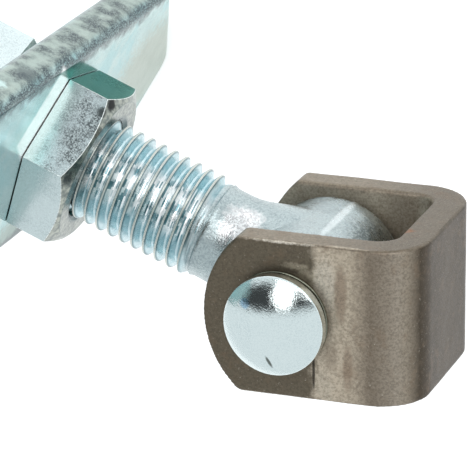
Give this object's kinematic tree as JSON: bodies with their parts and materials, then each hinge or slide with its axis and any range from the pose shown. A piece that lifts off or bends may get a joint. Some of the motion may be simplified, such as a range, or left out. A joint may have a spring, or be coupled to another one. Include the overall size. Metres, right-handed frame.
{
  "type": "adjustable gate hinge",
  "caption": "Adjustable gate hinge: M20 eyebolt clamped through a thick plate by two jam nuts, with a bent U-bracket swinging on a riveted pin.",
  "frame": {"origin": "where the bolt's axis leaves the back face of the plate, the face that lies on the gate's stile", "axes": "+X along the bolt from the plate to the eye, +Z along the hinge pin towards its domed head, upright on a hung gate, and +Y to the side that completes them"},
  "size_m": [0.1289, 0.0456, 0.12],
  "materials": {
    "zinc_plate": "bright zinc plating with a faint blue cast, slightly mottled",
    "pin_steel": "smooth bright zinc plating, glossier than the rest",
    "bare_steel": "hot-rolled flat bar, bare, brown-grey scale with worn pale patches"
  },
  "bodies": {
    "gate_plate": {"mounting_plate": "zinc_plate"},
    "front_nut": {"front_jam_nut": "zinc_plate"},
    "rear_nut": {"rear_jam_nut": "zinc_plate"},
    "bolt": {"eyebolt": "zinc_plate"},
    "bracket": {"u_bracket": "bare_steel", "hinge_pin": "pin_steel"}
  },
  "joints": [
    {"name": "front_nut_spin", "type": "hinge", "parent": "gate_plate", "child": "front_nut", "pos_m": [0.013, 0, 0], "axis": [1, 0, 0], "range_deg": [-2890, 2890]},
    {"name": "rear_nut_spin", "type": "hinge", "parent": "gate_plate", "child": "rear_nut", "pos_m": [-0.008, 0, 0], "axis": [1, 0, 0], "range_deg": [-2890, 2890]},
    {"name": "bolt_slide", "type": "slide", "parent": "gate_plate", "child": "bolt", "axis": [1, 0, 0], "range_m": [-0.02, 0.02]},
    {"name": "bracket_swing", "type": "hinge", "parent": "bolt", "child": "bracket", "pos_m": [0.0645, 0, 0], "axis": [0, 0, 1], "range_deg": [-132.5, 87.5]}
  ],
  "couplings": [
    {"joint": "front_nut_spin", "follows": "bolt_slide", "rad_per_m": -2513.3},
    {"joint": "rear_nut_spin", "follows": "bolt_slide", "rad_per_m": -2513.3}
  ]
}
